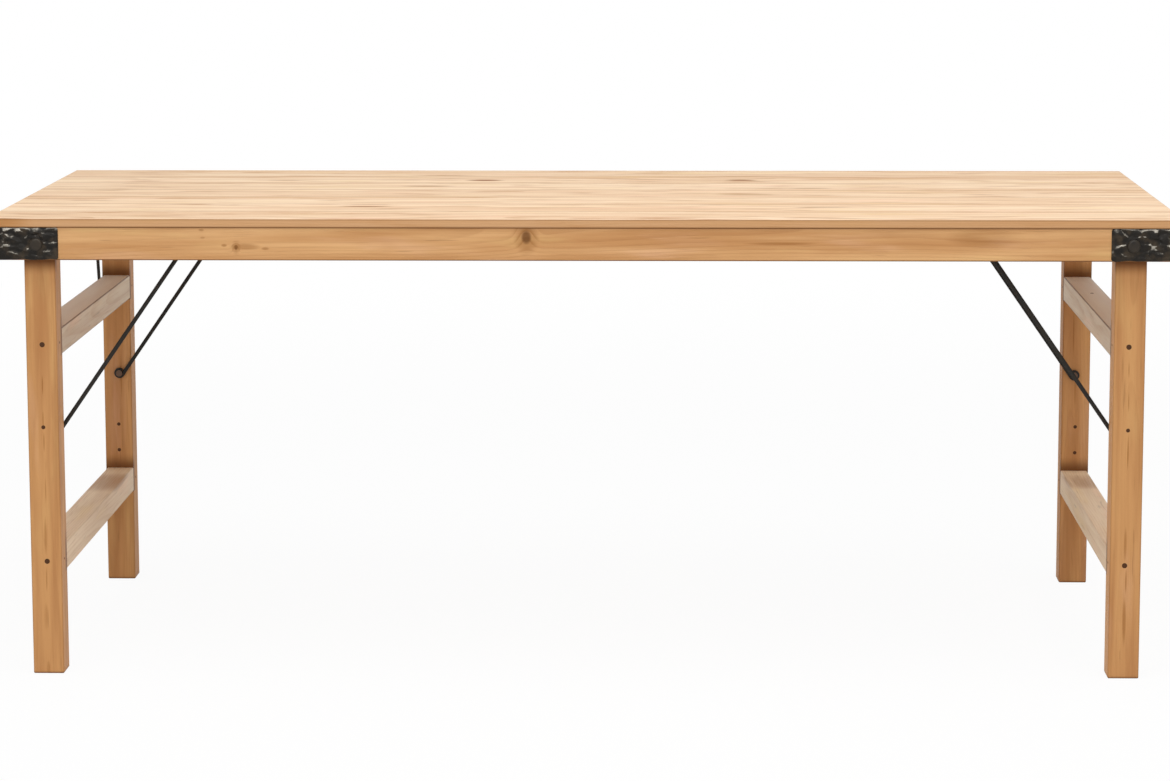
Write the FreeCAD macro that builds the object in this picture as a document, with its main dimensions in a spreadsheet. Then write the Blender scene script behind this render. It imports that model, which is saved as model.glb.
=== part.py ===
"""Folding dining table: a plank top on an apron frame, with two leg frames that fold inwards.

Millimetres. The origin is on the floor under the middle of the top, +X runs along the top,
-Y is the front and +Z is up.
"""
import FreeCAD, Part
import math
import os
import re

import Sketcher

V = FreeCAD.Vector

# The driving sizes, one cell each.
SIZES = {
    "top_length": 2000.0,
    "top_width": 900.0,
    "table_height": 785.0,
    "top_thickness": 13.5,
    "plank_count": 7,
    "tongue_length": 5.0,
    "tongue_thickness": 4.5,
    "groove_clearance": 0.3,
    "plank_edge_radius": 1.2,
    "end_overhang": 18.0,
    "apron_height": 56.0,
    "apron_thickness": 25.0,
    "apron_edge_radius": 1.5,
    "centre_rail_width": 60.0,
    "centre_rail_depth": 40.0,
    "leg_width": 52.5,
    "leg_depth": 52.0,
    "leg_inset": 84.0,
    "leg_edge_radius": 2.5,
    "pivot_drop": 43.0,
    "bolt_diameter": 10.0,
    "bolt_clearance": 0.05,
    "bolt_head_diameter": 22.0,
    "bolt_head_height": 4.5,
    "bolt_thread_end": 4.0,
    "washer_diameter": 26.0,
    "washer_thickness": 2.0,
    "face_clearance": 0.2,
    "nut_across": 17.0,
    "nut_height": 8.0,
    "rail_width": 50.0,
    "rail_height": 45.0,
    "upper_rail_centre": 568.5,
    "lower_rail_centre": 195.5,
    "rail_edge_radius": 2.0,
    "tenon_length": 34.0,
    "tenon_thickness": 16.0,
    "tenon_shoulder": 7.0,
    "rail_screw_diameter": 5.0,
    "rail_screw_head": 9.0,
    "rail_screw_head_height": 3.0,
    "rail_screw_length": 75.0,
    "bracket_thickness": 3.0,
    "bracket_arm": 106.0,
    "bracket_end_arm": 106.0,
    "bracket_corner_radius": 5.0,
    "bracket_plate_radius": 4.0,
    "bracket_screw_inset": 18.0,
    "bracket_screw_diameter": 4.5,
    "bracket_screw_head": 9.0,
    "bracket_screw_head_height": 1.6,
    "bracket_screw_length": 20.0,
    "rod_diameter": 7.2,
    "ring_radius": 6.5,
    "ring_angle": 280.0,
    "ring_gap": 0.4,
    "ring_bore_clearance": 0.05,
    "brace_pivot_height": 403.0,
    "brace_pivot_offset": 4.0,
    "brace_angle": 55.3,
    "bar_drop": 5.0,
    "bar_bend_radius": 22.0,
    "ring_screw_head": 12.0,
    "ring_screw_head_height": 3.5,
    "ring_screw_length": 34.0,
    "cleat_width": 28.0,
    "cleat_end_gap": 22.0,
    "cleat_depth": 19.0,
    "cleat_lip": 7.5,
    "cleat_lip_angle": 20.0,
    "seat_clearance": 0.3,
    "hook_rod_diameter": 6.0,
    "hook_ring_radius": 6.0,
    "hook_length": 177.0,
    "hook_lean_angle": 15.0,
    "hook_neck": 8.0,
    "hook_joggle": 10.1,
    "hook_joggle_radius": 12.0,
    "hook_bend_radius": 10.5,
    "hook_bend_angle": 110.0,
    "hook_setback": 74.0,
    "hook_pivot_rise": 22.0,
    "hook_screw_length": 16.0,
    "stud_rise": 1.5,
    "stud_diameter": 6.0,
    "stud_head": 12.0,
    "stud_head_height": 2.5,
    "stud_depth": 20.0,
}

# Places worked out from the driving sizes.
PLACES = {
    "top_underside": "table_height - top_thickness",
    "plank_width": "top_width / plank_count",
    "apron_length": "top_length - 2 * end_overhang",
    "apron_face": "top_width / 2 - bracket_thickness",
    "apron_inside": "apron_face - apron_thickness",
    "apron_bottom": "top_underside - apron_height",
    "apron_middle": "top_underside - apron_height / 2",
    "end_face": "apron_length / 2",
    "end_inside": "end_face - apron_thickness",
    "pivot_x": "top_length / 2 - leg_inset",
    "pivot_z": "table_height - pivot_drop",
    "leg_outside": "apron_inside - washer_thickness - face_clearance",
    "leg_y": "leg_outside - leg_depth / 2",
    "leg_inside": "leg_outside - leg_depth",
    "rail_x": "pivot_x - leg_width / 2 + rail_width / 2",
    "rail_outside": "rail_x + rail_width / 2",
    "tenon_height": "rail_height - 2 * tenon_shoulder",
    "arm_y": "leg_inside - ring_gap - rod_diameter / 2",
    "brace_x": "pivot_x - brace_pivot_offset",
    "ring_bore": "ring_radius - rod_diameter / 2",
    "bar_z": "top_underside - bar_drop",
    "cleat_length": "2 * (arm_y - bar_bend_radius - cleat_end_gap)",
    "hook_place": "leg_inside - hook_setback",
    "hook_pivot_z": "apron_bottom + hook_pivot_rise",
    "hook_x": "end_inside - ring_gap - hook_rod_diameter / 2",
    "hook_bore": "hook_ring_radius - hook_rod_diameter / 2",
    "hook_turn": "hook_lean_angle * 1 deg",
    "hook_offset": "hook_ring_radius + hook_bend_radius",
    "stud_y": "hook_place + hook_offset * cos(hook_turn) + hook_length * sin(hook_turn)",
    "stud_z": "hook_pivot_z + hook_offset * sin(hook_turn) - hook_length * cos(hook_turn) + stud_rise",
    "brace_turn": "brace_angle * 1 deg",
    "arm_foot_x": "brace_x - ring_radius * sin(brace_turn)",
    "arm_foot_z": "brace_pivot_height - ring_radius * cos(brace_turn)",
    "bar_x": "arm_foot_x - (bar_z - arm_foot_z) / tan(brace_turn)",
    "lip_turn": "cleat_lip_angle * 1 deg",
    "seat": "rod_diameter / 2 + seat_clearance",
    "seat_corner": "seat * tan(lip_turn) - seat / cos(lip_turn)",
}

SHEET = "Sizes"
ENDS = {"left": -1, "right": 1}
SIDES = {"front": -1, "back": 1}
RAILS = {"upper": "upper_rail_centre", "lower": "lower_rail_centre"}
NUT_SIDES = 6
DOME_SHARE = 0.8
ROUND_TOLERANCE = 1e-6
VOLUME_TOLERANCE = 0.01

doc = FreeCAD.newDocument("FoldingTable")
sheet = doc.addObject("Spreadsheet::Sheet", SHEET)
for row, (name, value) in enumerate(SIZES.items(), start=1):
    sheet.set("A%d" % row, name)
    sheet.set("B%d" % row, str(value))
    sheet.setAlias("B%d" % row, name)
doc.recompute()

parts = {}


def formula(text):
    """Spell a formula out in the sheet's cells."""
    def spell(match):
        word = match.group(0)
        if word in PLACES:
            return "(" + formula(PLACES[word]) + ")"
        if word in SIZES:
            return SHEET + "." + word
        return word
    return re.sub(r"[a-z_]+", spell, text)


def size(name):
    """The number that a sheet's cell holds."""
    return float(sheet.get(name))


def placed(name):
    """The number that a place comes to, read from a point tied to it."""
    marker = doc.addObject("Part::Vertex", "place_of_" + name)
    bind(marker, X=name)
    doc.recompute()
    number = marker.X.Value
    doc.removeObject(marker.Name)
    return number


def bind(item, **formulas):
    """Tie an object's sizes to the sheet."""
    for prop, text in formulas.items():
        item.setExpression(prop, formula(text))


def place(item, x="0", y="0", z="0"):
    """Tie an object's place to the sheet."""
    for axis, text in (("x", x), ("y", y), ("z", z)):
        item.setExpression("Placement.Base." + axis, formula(text))


def keep(item, label):
    """Name a finished piece."""
    item.Label = label
    parts[label] = item
    return item


def box(name, length, width, height, x, y, z):
    """A box whose middle is at x and y and whose foot is at z."""
    item = doc.addObject("Part::Box", name)
    bind(item, Length=length, Width=width, Height=height)
    place(item, "%s - (%s) / 2" % (x, length), "%s - (%s) / 2" % (y, width), z)
    return item


def rod(name, radius, length, x, y, z, direction):
    """A round bar from a point along a direction."""
    item = doc.addObject("Part::Cylinder", name)
    bind(item, Radius=radius, Height=length)
    item.Placement.Rotation = FreeCAD.Rotation(V(0, 0, 1), direction)
    place(item, x, y, z)
    return item


def fuse(name, items):
    """One solid from several that meet."""
    item = doc.addObject("Part::MultiFuse", name)
    item.Shapes = items
    item.Refine = True
    return item


def cut(name, base, tools):
    """A solid less several others."""
    tool = tools[0]
    if len(tools) > 1:
        tool = doc.addObject("Part::MultiFuse", name + "_holes")
        tool.Shapes = tools
    item = doc.addObject("Part::Cut", name)
    item.Base = base
    item.Tool = tool
    return item


def group(name, items):
    """Separate like solids in one node."""
    item = doc.addObject("Part::Compound", name)
    item.Links = items
    return item


def is_straight(edge):
    return isinstance(edge.Curve, Part.Line)


def along(edge, axis):
    """Whether a straight edge runs along an axis."""
    return is_straight(edge) and abs(abs(edge.tangentAt(edge.FirstParameter).dot(axis)) - 1) < ROUND_TOLERANCE


def rounded(name, base, radius, wanted):
    """A solid with the wanted edges rounded."""
    doc.recompute()
    item = doc.addObject("Part::Fillet", name)
    item.Base = base
    edges = enumerate(base.Shape.Edges, start=1)
    item.Edges = [(number, radius, radius) for number, edge in edges if wanted(edge)]
    return item


def add_point(sketch, geometry, end, x, y):
    """Hold a point of a sketch at two formulas."""
    for kind, text in (("DistanceX", x), ("DistanceY", y)):
        number = sketch.addConstraint(Sketcher.Constraint(kind, -1, 1, geometry, end, 0.0))
        sketch.setExpression("Constraints[%d]" % number, formula(text))


def outline(body, name, role, points):
    """A closed sketch of straight lines through points given as pairs of formulas."""
    sketch = body.newObject("Sketcher::SketchObject", name)
    plane = [item for item in body.Origin.OriginFeatures if item.Role == role][0]
    sketch.AttachmentSupport = [(plane, "")]
    sketch.MapMode = "FlatFace"
    count = len(points)
    turn = 2 * math.pi / count
    corners = [V(math.cos(turn * i), math.sin(turn * i), 0) for i in range(count)]
    for i in range(count):
        sketch.addGeometry(Part.LineSegment(corners[i], corners[(i + 1) % count]), False)
    for i in range(count):
        sketch.addConstraint(Sketcher.Constraint("Coincident", i, 2, (i + 1) % count, 1))
    for i, (x, y) in enumerate(points):
        add_point(sketch, i, 1, x, y)
    return sketch


def pad(body, name, sketch, length):
    """A sketch padded evenly to both sides."""
    item = body.newObject("PartDesign::Pad", name)
    item.Profile = sketch
    item.Midplane = True
    bind(item, Length=length)
    sketch.Visibility = False
    return item


def curl(centre, run, side, radius, turn):
    """An eye bent in a rod's end: an arc about a centre that leaves along a run, beside the centre."""

    def point(angle):
        return centre + (side * math.cos(angle) - run * math.sin(angle)) * radius
    return Part.Arc(point(turn), point(turn / 2), point(0)).toShape(), point(0)


def bend(start, run, towards, radius, turn):
    """A bend of a rod that leaves a start along a run and turns towards a side."""
    centre = start + towards * radius

    def point(angle):
        return centre + (run * math.sin(angle) - towards * math.cos(angle)) * radius
    return Part.Arc(start, point(turn / 2), point(turn)).toShape(), point(turn)


def bent_rod(label, edges, start_run, diameter):
    """A round rod along a path of straight runs and tangent arcs."""
    path = Part.Wire(edges)
    start = edges[0].valueAt(edges[0].FirstParameter)
    section = Part.Wire([Part.Circle(start, start_run, diameter / 2).toShape()])
    shape = path.makePipeShell([section], True, False)
    expected = math.pi * diameter ** 2 / 4 * path.Length
    if abs(shape.Volume / expected - 1) > VOLUME_TOLERANCE:
        raise RuntimeError("%s: the swept volume is wrong" % label)
    item = doc.addObject("Part::Feature", label)
    item.Shape = shape
    return keep(item, label)


def line(start, end):
    return Part.LineSegment(start, end).toShape()


def make_planks():
    """Tongued and grooved planks along the top, eased along their upper edges."""
    count = int(size("plank_count"))
    groove = "(tongue_thickness / 2 + groove_clearance)"
    groove_depth = "tongue_length + groove_clearance"
    middle = "top_thickness / 2"
    for number in range(count):
        points = [("0", "0")]
        if number > 0:
            points += [("0", middle + " - " + groove), (groove_depth, middle + " - " + groove),
                       (groove_depth, middle + " + " + groove), ("0", middle + " + " + groove)]
        points += [("0", "top_thickness"), ("plank_width", "top_thickness")]
        if number < count - 1:
            points += [("plank_width", middle + " + tongue_thickness / 2"),
                       ("plank_width + tongue_length", middle + " + tongue_thickness / 2"),
                       ("plank_width + tongue_length", middle + " - tongue_thickness / 2"),
                       ("plank_width", middle + " - tongue_thickness / 2")]
        points += [("plank_width", "0")]
        name = "top_plank_%d" % (number + 1)
        body = doc.addObject("PartDesign::Body", name + "_body")
        pad(body, name + "_pad", outline(body, name + "_outline", "YZ_Plane", points), "top_length")
        place(body, "0", "%d * plank_width - top_width / 2" % number, "top_underside")

        def upper(edge):
            return along(edge, V(1, 0, 0)) and edge.BoundBox.ZMin > size("table_height") - ROUND_TOLERANCE
        keep(rounded(name, body, size("plank_edge_radius"), upper), name)


def pivot_cut(name, radius, sign, side):
    """The hole along a pivot bolt's axis, through everything on that side."""
    return rod(name, radius, "top_width / 2", "%d * pivot_x" % sign, "0", "pivot_z", V(0, side, 0))


def lower_eased(name, board, run):
    """A board with its two lower long edges eased."""
    doc.recompute()
    foot = board.Shape.BoundBox.ZMin

    def lower(edge):
        return along(edge, run) and edge.BoundBox.ZMax < foot + ROUND_TOLERANCE
    return rounded(name + "_eased", board, size("apron_edge_radius"), lower)


def make_bracket_screws():
    """Two screws through each bracket's end arm. Returns their shanks, by end and side."""
    shanks = {}
    screws = []
    for side_name, side in SIDES.items():
        for end, sign in ENDS.items():
            x = "%d * (end_face + bracket_thickness)" % sign
            y = "%d * (top_width / 2 - bracket_end_arm + bracket_screw_inset)" % side
            for word, level in (("lower", -1), ("upper", 1)):
                name = "bracket_screw_%s_%s_%s" % (side_name, end, word)
                z = "apron_middle + %d * (apron_height / 2 - bracket_screw_inset)" % level
                shank = rod(name + "_shank", "bracket_screw_diameter / 2", "bracket_screw_length",
                            x, y, z, V(-sign, 0, 0))
                head = rod(name + "_head", "bracket_screw_head / 2", "bracket_screw_head_height",
                           x, y, z, V(sign, 0, 0))
                screws.append(fuse(name, [shank, head]))
                shanks.setdefault((end, side_name), []).append(shank)
    keep(group("bracket_screws", screws), "bracket_screws")
    return shanks


def make_aprons(shanks):
    """Two long aprons, bored for the pivot bolts, with the end aprons and a cross rail between them."""
    for side_name, side in SIDES.items():
        name = "%s_apron" % side_name
        board = box(name + "_board", "apron_length", "apron_thickness", "apron_height",
                    "0", "%d * (apron_face - apron_thickness / 2)" % side, "apron_bottom")
        bores = [pivot_cut("%s_bore_%s" % (name, end), "bolt_diameter / 2", sign, side)
                 for end, sign in ENDS.items()]
        keep(cut(name, lower_eased(name, board, V(1, 0, 0)), bores), name)
    for end, sign in ENDS.items():
        name = "%s_end_apron" % end
        board = box(name + "_board", "apron_thickness", "2 * apron_inside", "apron_height",
                    "%d * (end_face - apron_thickness / 2)" % sign, "0", "apron_bottom")
        screw = rod(name + "_hook_hole", "hook_bore - ring_bore_clearance", "hook_screw_length",
                    "%d * end_inside" % sign, "%d * hook_place" % -sign, "hook_pivot_z", V(sign, 0, 0))
        tools = [screw] + shanks[end, "front"] + shanks[end, "back"]
        keep(cut(name, lower_eased(name, board, V(0, 1, 0)), tools), name)
    name = "centre_cross_rail"
    board = box(name + "_board", "centre_rail_width", "2 * apron_inside", "centre_rail_depth",
                "0", "0", "top_underside - centre_rail_depth")
    keep(lower_eased(name, board, V(0, 1, 0)), name)


def make_brackets(shanks):
    """Iron plates bent round the corners of the aprons."""
    for side_name, side in SIDES.items():
        for end, sign in ENDS.items():
            name = "corner_bracket_%s_%s" % (side_name, end)
            outer_x = "%d * (end_face + bracket_thickness)" % sign
            inner_x = "%d * end_face" % sign
            arm_x = "%d * (end_face + bracket_thickness - bracket_arm)" % sign
            outer_y = "%d * top_width / 2" % side
            inner_y = "%d * apron_face" % side
            arm_y = "%d * (top_width / 2 - bracket_end_arm)" % side
            points = [(outer_x, outer_y), (arm_x, outer_y), (arm_x, inner_y),
                      (inner_x, inner_y), (inner_x, arm_y), (outer_x, arm_y)]
            body = doc.addObject("PartDesign::Body", name + "_body")
            pad(body, name + "_pad", outline(body, name + "_outline", "XY_Plane", points), "apron_height")
            place(body, "0", "0", "apron_middle")
            doc.recompute()
            corner = V(sign, side, 0)
            reach = max(edge.CenterOfMass.dot(corner) for edge in body.Shape.Edges)

            def outer_corner(edge):
                return along(edge, V(0, 0, 1)) and edge.CenterOfMass.dot(corner) > reach - ROUND_TOLERANCE

            def plate_corner(edge):
                is_short = abs(edge.Length - size("bracket_thickness")) < ROUND_TOLERANCE
                return is_short and is_straight(edge) and not along(edge, V(0, 0, 1))
            folded = rounded(name + "_folded", body, size("bracket_corner_radius"), outer_corner)
            plate = rounded(name + "_plate", folded, size("bracket_plate_radius"), plate_corner)
            bore = pivot_cut(name + "_bore", "bolt_diameter / 2", sign, side)
            keep(cut(name, plate, [bore] + shanks[end, side_name]), name)


def make_pivots():
    """Round-headed bolts through bracket, apron and leg, with washers and nuts."""
    washers = []
    nuts = []
    for side_name, side in SIDES.items():
        for end, sign in ENDS.items():
            name = "pivot_bolt_%s_%s" % (side_name, end)
            x = "%d * pivot_x" % sign
            inwards = V(0, -side, 0)
            shank = rod(name + "_shank", "bolt_diameter / 2",
                        "top_width / 2 - leg_inside + face_clearance + washer_thickness"
                        " + nut_height + bolt_thread_end",
                        x, "%d * top_width / 2" % side, "pivot_z", inwards)
            head = rod(name + "_head", "bolt_head_diameter / 2", "bolt_head_height",
                       x, "%d * top_width / 2" % side, "pivot_z", V(0, side, 0))
            doc.recompute()

            def rim(edge):
                return side * edge.CenterOfMass.y > size("top_width") / 2 + ROUND_TOLERANCE and edge.isClosed()
            dome = rounded(name + "_dome", head, size("bolt_head_height") * DOME_SHARE, rim)
            keep(fuse(name, [shank, dome]), name)
            hole = pivot_cut(name + "_hole", "bolt_diameter / 2", sign, side)
            for word, y in (("outer", "apron_inside"), ("inner", "leg_inside - face_clearance")):
                disc = rod("%s_%s_disc" % (name, word), "washer_diameter / 2", "washer_thickness",
                           x, "%d * (%s)" % (side, y), "pivot_z", inwards)
                washers.append(cut("%s_%s_washer" % (name, word), disc, [hole]))
            block = doc.addObject("Part::Prism", name + "_block")
            block.Polygon = NUT_SIDES
            bind(block, Circumradius="nut_across / sqrt(3)", Height="nut_height")
            block.Placement.Rotation = FreeCAD.Rotation(V(0, 0, 1), inwards)
            place(block, x, "%d * (leg_inside - face_clearance - washer_thickness)" % side, "pivot_z")
            nuts.append(cut(name + "_nut", block, [hole]))
    keep(group("pivot_washers", washers), "pivot_washers")
    keep(group("pivot_nuts", nuts), "pivot_nuts")


def make_leg_frame(end, sign):
    """Two legs with round tops, bored for the bolts, and two rails tenoned into them."""
    screws = []
    ring_screws = []
    rail_holes = {level: [] for level in RAILS}
    for side_name, side in SIDES.items():
        name = "leg_%s_%s" % (side_name, end)
        x = "%d * pivot_x" % sign
        y = "%d * leg_y" % side
        inwards = V(0, -side, 0)
        post = box(name + "_post", "leg_width", "leg_depth", "pivot_z", x, y, "0")
        crown = rod(name + "_crown", "leg_width / 2", "leg_depth", x, "%d * leg_outside" % side,
                    "pivot_z", inwards)
        blank = fuse(name + "_blank", [post, crown])

        def outer(edge):
            return not along(edge, V(0, 1, 0)) or edge.BoundBox.ZMax < ROUND_TOLERANCE
        stick = rounded(name + "_stick", blank, size("leg_edge_radius"), outer)
        tools = [pivot_cut(name + "_bore", "bolt_diameter / 2 + bolt_clearance", sign, side)]
        for level, centre in RAILS.items():
            tools.append(box("%s_mortise_%s" % (name, level), "tenon_thickness", "tenon_length", "tenon_height",
                             "%d * rail_x" % sign, "%d * (leg_inside + tenon_length / 2)" % side,
                             "%s - tenon_height / 2" % centre))
            screw_name = "%s_screw_%s" % (name, level)
            face = "%d * leg_outside" % side
            shank = rod(screw_name + "_shank", "rail_screw_diameter / 2", "rail_screw_length",
                        "%d * rail_x" % sign, face, centre, inwards)
            head = rod(screw_name + "_head", "rail_screw_head / 2", "rail_screw_head_height",
                       "%d * rail_x" % sign, face, centre, inwards)
            screws.append(fuse(screw_name, [shank, head]))
            tools += [shank, head]
            rail_holes[level].append(shank)
        ring_name = name + "_ring_screw"
        ring_x = "%d * brace_x" % sign
        reach = "ring_gap + rod_diameter + ring_gap"
        ring_shank = rod(ring_name + "_shank", "ring_bore - ring_bore_clearance",
                         "ring_screw_length + " + reach, ring_x,
                         "%d * (leg_inside + ring_screw_length)" % side, "brace_pivot_height", inwards)
        ring_head = rod(ring_name + "_head", "ring_screw_head / 2", "ring_screw_head_height", ring_x,
                        "%d * (leg_inside - (%s))" % (side, reach), "brace_pivot_height", inwards)
        ring_screws.append(fuse(ring_name, [ring_shank, ring_head]))
        tools.append(ring_shank)
        keep(cut(name, stick, tools), name)
    for level, centre in RAILS.items():
        name = "%s_rail_%s" % (level, end)
        board = box(name + "_board", "rail_width", "2 * leg_inside", "rail_height",
                    "%d * rail_x" % sign, "0", "%s - rail_height / 2" % centre)

        def long_edge(edge):
            return along(edge, V(0, 1, 0))
        eased = rounded(name + "_eased", board, size("rail_edge_radius"), long_edge)
        tenons = box(name + "_tenons", "tenon_thickness", "2 * (leg_inside + tenon_length)", "tenon_height",
                     "%d * rail_x" % sign, "0", "%s - tenon_height / 2" % centre)
        tools = list(rail_holes[level])
        if level == "upper":
            tools.append(make_stud(end, sign))
        keep(cut(name, fuse(name + "_whole", [eased, tenons]), tools), name)
    keep(group("rail_screws_" + end, screws), "rail_screws_" + end)
    keep(group("ring_screws_" + end, ring_screws), "ring_screws_" + end)


def make_stud(end, sign):
    """The headed stud on the upper rail that the hook catches. Returns its shank."""
    name = "hook_stud_" + end
    y = "%d * stud_y" % -sign
    reach = "hook_x - hook_joggle + hook_rod_diameter / 2 + ring_gap"
    shank = rod(name + "_shank", "stud_diameter / 2", "%s - rail_outside + stud_depth" % reach,
                "%d * (rail_outside - stud_depth)" % sign, y, "stud_z", V(sign, 0, 0))
    head = rod(name + "_head", "stud_head / 2", "stud_head_height",
               "%d * (%s)" % (sign, reach), y, "stud_z", V(sign, 0, 0))
    keep(fuse(name, [shank, head]), name)
    return shank


def make_brace(end, sign):
    """A bent iron rod: an eye at each leg, an arm up from each, and a bar across under the top."""
    angle = math.radians(size("brace_angle"))
    up = V(-sign * math.cos(angle), 0, math.sin(angle))
    beside = V(-sign * math.sin(angle), 0, -math.cos(angle))
    ring = size("ring_radius")
    turn = math.radians(size("ring_angle"))
    radius = size("bar_bend_radius")
    eye = V(sign * placed("brace_x"), -placed("arm_y"), size("brace_pivot_height"))
    across = V(0, 1, 0)
    first, foot = curl(eye, up, beside, ring, turn)
    arm = (placed("bar_z") - foot.z) / math.sin(angle)
    shoulder = foot + up * (arm - radius)
    corner, bar_start = bend(shoulder, up, across, radius, math.pi / 2)

    def mirrored(point):
        return V(point.x, -point.y, point.z)
    bar_end = mirrored(bar_start)
    other_corner, other_shoulder = bend(bar_end, across, up * -1, radius, math.pi / 2)
    other_foot = mirrored(foot)
    second, _ = curl(mirrored(eye), up, beside, ring, turn)
    edges = [first, line(foot, shoulder), corner, line(bar_start, bar_end), other_corner,
             line(other_shoulder, other_foot), second]
    start = (beside * -math.sin(turn) - up * math.cos(turn)) * -1
    return bent_rod("brace_" + end, edges, start, size("rod_diameter"))


def make_cleat(end, sign):
    """The strip under the top whose groove the brace's bar sits in, open towards the middle."""
    name = "brace_cleat_" + end
    back = "%d * (seat + cleat_width)" % sign
    wall = "%d * seat" % sign
    tip = "%d * (seat - cleat_lip)" % sign
    foot = "bar_drop - cleat_depth"
    points = [(back, "bar_drop"), (wall, "bar_drop"), (wall, "seat_corner"),
              (tip, "seat_corner - cleat_lip * tan(lip_turn)"), (tip, foot), (back, foot)]
    body = doc.addObject("PartDesign::Body", name + "_body")
    pad(body, name + "_pad", outline(body, name + "_outline", "XZ_Plane", points), "cleat_length")
    place(body, "%d * bar_x" % sign, "0", "bar_z")
    keep(body, name)


def make_hook(end, sign):
    """A hook bent from rod, leaning from a screw in the end apron to its stud. Returns the screw.

    Below its eye the rod is joggled inwards by two equal arcs, so that it lies close to the rail.
    """
    eye = V(sign * placed("hook_x"), -sign * placed("hook_place"), placed("hook_pivot_z"))
    lean = math.radians(size("hook_lean_angle"))
    down = V(0, 0, -1)
    towards_leg = V(0, -sign, 0)
    inwards = V(-sign, 0, 0)
    run = down * math.cos(lean) + towards_leg * math.sin(lean)
    beside = towards_leg * math.cos(lean) - down * math.sin(lean)
    turn = math.radians(size("ring_angle"))
    ring, neck = curl(eye, run, beside, size("hook_ring_radius"), turn)
    joggle = size("hook_joggle")
    radius = size("hook_joggle_radius")
    slope = math.acos(1 - joggle / (2 * radius))
    bend_start = neck + run * size("hook_neck")
    bend_in, bend_middle = bend(bend_start, run, inwards, radius, slope)
    slanted = run * math.cos(slope) + inwards * math.sin(slope)
    outwards = run * math.sin(slope) - inwards * math.cos(slope)
    bend_out, bend_end = bend(bend_middle, slanted, outwards, radius, slope)
    knee = neck + inwards * joggle + run * size("hook_length")
    tip, _ = bend(knee, run, beside, size("hook_bend_radius"), math.radians(size("hook_bend_angle")))
    start = (beside * -math.sin(turn) - run * math.cos(turn)) * -1
    edges = [ring, line(neck, bend_start), bend_in, bend_out, line(bend_end, knee), tip]
    bent_rod("lock_hook_" + end, edges, start, size("hook_rod_diameter"))
    name = "hook_screw_" + end
    y = "%d * hook_place" % -sign
    reach = "ring_gap + hook_rod_diameter + ring_gap"
    shank = rod(name + "_shank", "hook_bore - ring_bore_clearance", "hook_screw_length + " + reach,
                "%d * (end_inside + hook_screw_length)" % sign, y, "hook_pivot_z", V(-sign, 0, 0))
    head = rod(name + "_head", "ring_screw_head / 2", "ring_screw_head_height",
               "%d * (end_inside - (%s))" % (sign, reach), y, "hook_pivot_z", V(-sign, 0, 0))
    return fuse(name, [shank, head])


def check():
    """Stop if any object failed, or any piece is empty or invalid."""
    doc.recompute()
    for item in doc.Objects:
        if "Invalid" in item.State or "Error" in item.State:
            raise RuntimeError("%s failed: %s" % (item.Name, item.State))
    for label, item in parts.items():
        if item.Shape.isNull() or not item.Shape.isValid() or not item.Shape.Solids:
            raise RuntimeError("%s has no valid solid" % label)


def export():
    """Write each piece to its own file."""
    os.makedirs("parts", exist_ok=True)
    for label, item in parts.items():
        item.Shape.exportStep(os.path.join("parts", label + ".step"))


make_planks()
bracket_shanks = make_bracket_screws()
make_aprons(bracket_shanks)
make_brackets(bracket_shanks)
make_pivots()
hook_screws = []
for end_name, end_sign in ENDS.items():
    make_leg_frame(end_name, end_sign)
    make_brace(end_name, end_sign)
    make_cleat(end_name, end_sign)
    hook_screws.append(make_hook(end_name, end_sign))
keep(group("hook_screws", hook_screws), "hook_screws")
check()
export()
for part_label, part in parts.items():
    print("%-28s %2d solids %12.1f mm3" % (part_label, len(part.Shape.Solids), part.Shape.Volume))
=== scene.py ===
"""Folding dining table: finishes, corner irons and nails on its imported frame.

Metres, in the frame's own axes: +X runs along the top, -Y is the front and +Z is up.
"""
import math

import bpy
import numpy as np
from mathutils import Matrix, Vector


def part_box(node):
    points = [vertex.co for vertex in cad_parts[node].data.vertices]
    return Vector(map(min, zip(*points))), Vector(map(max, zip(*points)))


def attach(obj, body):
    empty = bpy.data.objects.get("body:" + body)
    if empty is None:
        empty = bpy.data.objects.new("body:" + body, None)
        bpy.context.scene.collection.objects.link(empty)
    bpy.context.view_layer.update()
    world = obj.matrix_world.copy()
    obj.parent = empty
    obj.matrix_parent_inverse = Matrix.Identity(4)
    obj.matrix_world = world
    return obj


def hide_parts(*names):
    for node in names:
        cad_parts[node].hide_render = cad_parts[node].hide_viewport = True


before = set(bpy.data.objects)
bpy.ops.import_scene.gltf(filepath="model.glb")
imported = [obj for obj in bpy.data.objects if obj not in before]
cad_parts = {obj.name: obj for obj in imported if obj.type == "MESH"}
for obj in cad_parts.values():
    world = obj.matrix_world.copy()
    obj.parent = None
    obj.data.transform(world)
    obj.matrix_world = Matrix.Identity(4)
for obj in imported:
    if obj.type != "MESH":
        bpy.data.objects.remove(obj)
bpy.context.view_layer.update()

bl_info = {
    "name": "Folding Dining Table",
    "version": (1, 0, 0),
    "blender": (4, 5, 0),
    "location": "View3D > Sidebar > Table",
    "description": "Pine finishes, hammered corner irons, nails and a studio for a folding table",
    "category": "Object",
}

CAD_TOP = (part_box("top_plank_1")[0][1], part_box("top_plank_7")[1][1])
IRON_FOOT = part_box("corner_bracket_front_left")[0][2]

ENDS = {"left": -1, "right": 1}
SIDES = {"front": -1, "back": 1}
LEVELS = {"upper": "rail", "lower": "low_rail"}

# A board's axes in order: along its grain, across its face, through its thickness.
PLANK_AXES = (0, 1, 2)
APRON_AXES = (0, 2, 1)
END_APRON_AXES = (1, 2, 0)
CROSS_AXES = (1, 0, 2)
LEG_AXES = (2, 0, 1)
RAIL_AXES = (1, 2, 0)

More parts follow.
